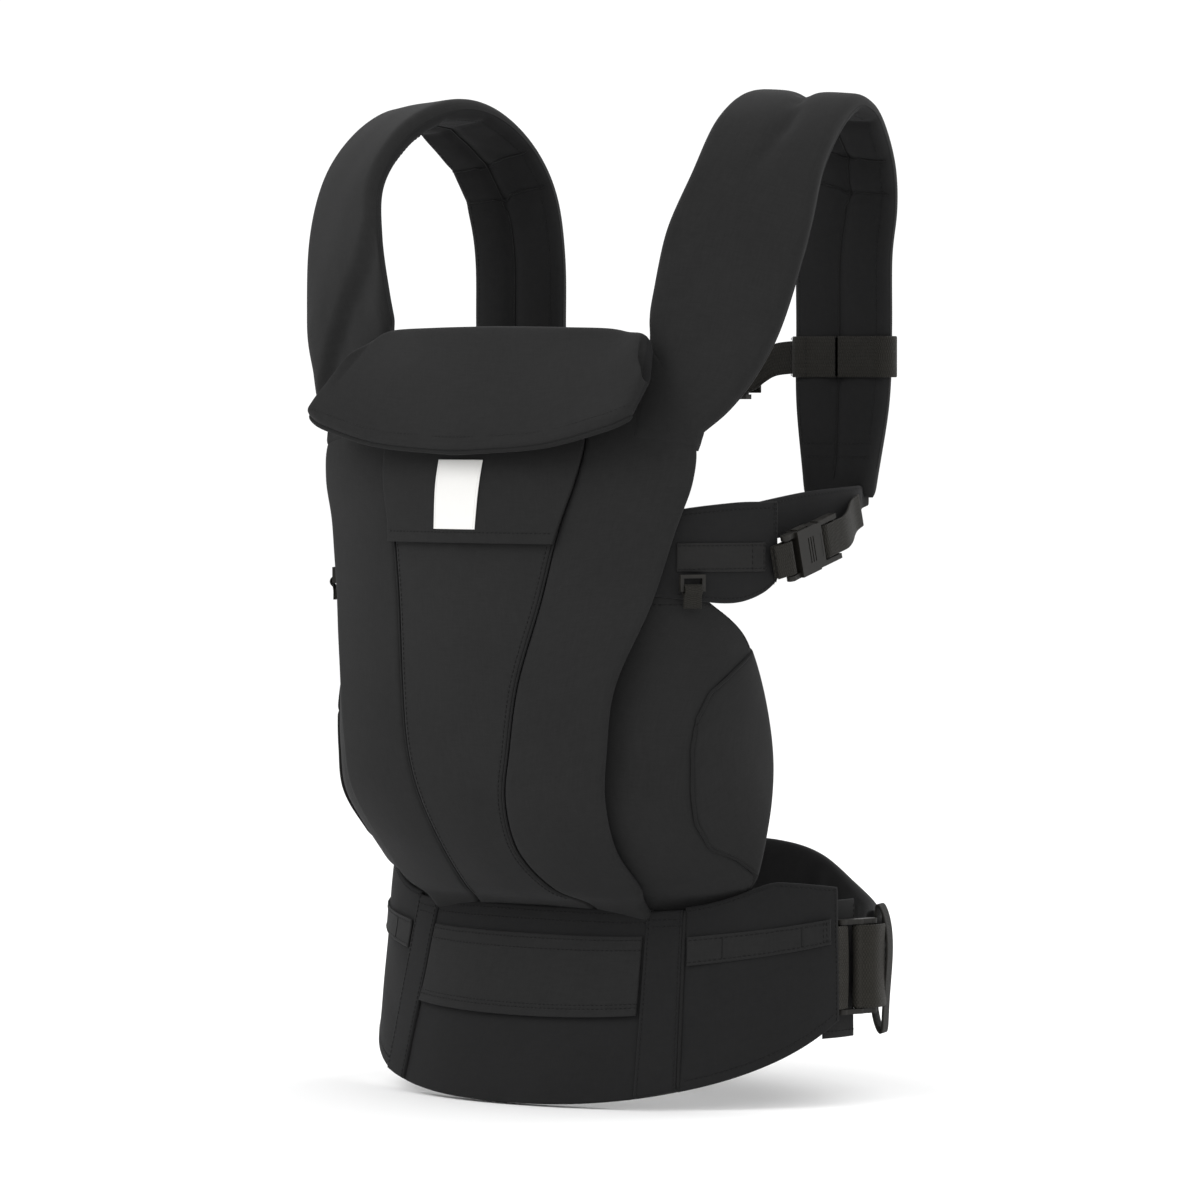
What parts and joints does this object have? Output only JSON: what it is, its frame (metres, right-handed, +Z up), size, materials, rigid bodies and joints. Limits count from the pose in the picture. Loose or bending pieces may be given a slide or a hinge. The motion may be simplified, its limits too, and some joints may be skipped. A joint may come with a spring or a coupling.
{
  "type": "soft baby carrier",
  "caption": "Black soft structured baby carrier, buckled as worn, with a padded waist belt, a curved body panel, a folded head support and shoulder straps.",
  "frame": {"origin": "centre of the waist opening, level with the lowest edge of the belt", "axes": "+Z is up the wearer's body, +X towards the wearer's left, -Y away from the wearer, where the panel is"},
  "size_m": [0.3832, 0.3055, 0.608],
  "materials": {
    "cloth": "matt black woven cotton",
    "lining": "matt black lining cloth",
    "foam": "soft foam, covered",
    "webbing": "ribbed black webbing",
    "elastic": "black elastic band",
    "label": "off-white plain woven label",
    "buckle_plastic": "black moulded plastic, fine grain"
  },
  "bodies": {
    "carrier": {"front_panel": "cloth", "centre_tab": "cloth", "leg_wing_left": "cloth", "leg_wing_right": "cloth", "leg_rim_left": "cloth", "leg_rim_right": "cloth", "side_wing_left": "cloth", "side_wing_right": "cloth", "strap_cover_left": "cloth", "strap_cover_right": "cloth", "strap_end_flap_left": "cloth", "strap_end_flap_right": "cloth", "belt_front": "cloth", "belt_flap": "cloth", "belt_side_left": "cloth", "belt_side_right": "cloth", "panel_lining": "lining", "strap_lining_left": "lining", "strap_lining_right": "lining", "belt_lining": "lining", "lumbar_pad": "lining", "strap_foam_left": "foam", "strap_foam_right": "foam", "belt_foam": "foam", "label_patch": "label", "wing_webbing_left": "webbing", "wing_webbing_right": "webbing", "waist_webbing_left": "webbing", "waist_webbing_right": "webbing", "side_webbing_left": "webbing", "side_webbing_right": "webbing", "seat_tab_left": "webbing", "seat_tab_right": "webbing", "safety_loop": "elastic", "waist_buckle_socket": "buckle_plastic", "side_buckle_socket_left": "buckle_plastic", "side_buckle_socket_right": "buckle_plastic"},
    "head_support": {"head_support": "cloth", "head_support_piping": "cloth"},
    "waist_adjuster_left": {"waist_adjuster_left": "buckle_plastic"},
    "waist_adjuster_right": {"waist_adjuster_right": "buckle_plastic"},
    "waist_plug": {"waist_buckle_plug": "buckle_plastic"},
    "waist_arm_upper": {"waist_buckle_arm_upper": "buckle_plastic"},
    "waist_arm_lower": {"waist_buckle_arm_lower": "buckle_plastic"},
    "side_plug_left": {"side_buckle_plug_left": "buckle_plastic"},
    "side_arm_upper_left": {"side_buckle_arm_upper_left": "buckle_plastic"},
    "side_arm_lower_left": {"side_buckle_arm_lower_left": "buckle_plastic"},
    "side_plug_right": {"side_buckle_plug_right": "buckle_plastic"},
    "side_arm_upper_right": {"side_buckle_arm_upper_right": "buckle_plastic"},
    "side_arm_lower_right": {"side_buckle_arm_lower_right": "buckle_plastic"},
    "chest_strap": {"chest_loop_left": "webbing", "chest_loop_right": "webbing", "chest_webbing_left": "webbing", "chest_webbing_right": "webbing", "chest_buckle_socket": "buckle_plastic"},
    "chest_plug": {"chest_buckle_plug": "buckle_plastic"},
    "chest_arm_upper": {"chest_buckle_arm_upper": "buckle_plastic"},
    "chest_arm_lower": {"chest_buckle_arm_lower": "buckle_plastic"},
    "seat_ring_left": {"seat_ring_left": "buckle_plastic"},
    "seat_ring_right": {"seat_ring_right": "buckle_plastic"}
  },
  "joints": [
    {"name": "head_support_fold", "type": "hinge", "parent": "carrier", "child": "head_support", "pos_m": [0, -0.128, 0.461], "axis": [-1, 0, 0], "range_deg": [0, 105]},
    {"name": "waist_adjuster_tilt_left", "type": "hinge", "parent": "carrier", "child": "waist_adjuster_left", "pos_m": [0.168, 0.0015, 0.082], "axis": [0, 0, 1], "range_deg": [0, 12], "deforming": ["waist_webbing_left"]},
    {"name": "waist_adjuster_tilt_right", "type": "hinge", "parent": "carrier", "child": "waist_adjuster_right", "pos_m": [-0.168, 0.0015, 0.082], "axis": [0, 0, -1], "range_deg": [0, 12], "deforming": ["waist_webbing_right"]},
    {"name": "waist_buckle_release", "type": "slide", "parent": "carrier", "child": "waist_plug", "axis": [1, 0, 0], "range_m": [0, 0.028], "deforming": ["waist_buckle_arm_upper", "waist_buckle_arm_lower", "waist_webbing_left"]},
    {"name": "waist_button_upper", "type": "hinge", "parent": "waist_plug", "child": "waist_arm_upper", "pos_m": [0.0089, 0.122, 0.108], "axis": [0, -1, 0], "range_deg": [0, 8], "stiffness_Nm_per_rad": 0.05},
    {"name": "waist_button_lower", "type": "hinge", "parent": "waist_plug", "child": "waist_arm_lower", "pos_m": [0.0089, 0.122, 0.056], "axis": [0, -1, 0], "range_deg": [-8, 0], "stiffness_Nm_per_rad": 0.05},
    {"name": "side_buckle_release_left", "type": "slide", "parent": "carrier", "child": "side_plug_left", "axis": [0, 0.9659, 0.2588], "range_m": [0, 0.018], "deforming": ["side_buckle_arm_upper_left", "side_buckle_arm_lower_left", "side_webbing_left"]},
    {"name": "side_button_upper_left", "type": "hinge", "parent": "side_plug_left", "child": "side_arm_upper_left", "pos_m": [0.1645, -0.04294, 0.3456], "axis": [1, 0, 0], "range_deg": [0, 11], "stiffness_Nm_per_rad": 0.05},
    {"name": "side_button_lower_left", "type": "hinge", "parent": "side_plug_left", "child": "side_arm_lower_left", "pos_m": [0.1645, -0.03725, 0.32435], "axis": [1, 0, 0], "range_deg": [-11, 0], "stiffness_Nm_per_rad": 0.05},
    {"name": "side_buckle_release_right", "type": "slide", "parent": "carrier", "child": "side_plug_right", "axis": [0, 0.9659, 0.2588], "range_m": [0, 0.018], "deforming": ["side_buckle_arm_upper_right", "side_buckle_arm_lower_right", "side_webbing_right"]},
    {"name": "side_button_upper_right", "type": "hinge", "parent": "side_plug_right", "child": "side_arm_upper_right", "pos_m": [-0.1645, -0.04294, 0.3456], "axis": [1, 0, 0], "range_deg": [0, 11], "stiffness_Nm_per_rad": 0.05},
    {"name": "side_button_lower_right", "type": "hinge", "parent": "side_plug_right", "child": "side_arm_lower_right", "pos_m": [-0.1645, -0.03725, 0.32435], "axis": [1, 0, 0], "range_deg": [-11, 0], "stiffness_Nm_per_rad": 0.05},
    {"name": "chest_strap_height", "type": "slide", "parent": "carrier", "child": "chest_strap", "axis": [0, 0, 1], "range_m": [-0.045, 0.045]},
    {"name": "chest_buckle_release", "type": "slide", "parent": "chest_strap", "child": "chest_plug", "axis": [1, 0, 0], "range_m": [0, 0.018], "deforming": ["chest_buckle_arm_upper", "chest_buckle_arm_lower", "chest_webbing_left"]},
    {"name": "chest_button_upper", "type": "hinge", "parent": "chest_plug", "child": "chest_arm_upper", "pos_m": [0.0299, 0.045, 0.447], "axis": [0, -1, 0], "range_deg": [0, 11], "stiffness_Nm_per_rad": 0.05},
    {"name": "chest_button_lower", "type": "hinge", "parent": "chest_plug", "child": "chest_arm_lower", "pos_m": [0.0299, 0.045, 0.425], "axis": [0, -1, 0], "range_deg": [-11, 0], "stiffness_Nm_per_rad": 0.05},
    {"name": "seat_ring_swing_left", "type": "hinge", "parent": "carrier", "child": "seat_ring_left", "pos_m": [0.137, -0.122, 0.3106], "axis": [0.5, 0.866, 0], "range_deg": [-4, 40]},
    {"name": "seat_ring_swing_right", "type": "hinge", "parent": "carrier", "child": "seat_ring_right", "pos_m": [-0.137, -0.122, 0.3106], "axis": [0.5, -0.866, 0], "range_deg": [-4, 40]}
  ],
  "couplings": [
    {"joint": "waist_button_lower", "follows": "waist_button_upper", "ratio": -1},
    {"joint": "side_button_lower_left", "follows": "side_button_upper_left", "ratio": -1},
    {"joint": "side_button_lower_right", "follows": "side_button_upper_right", "ratio": -1},
    {"joint": "chest_button_lower", "follows": "chest_button_upper", "ratio": -1}
  ]
}
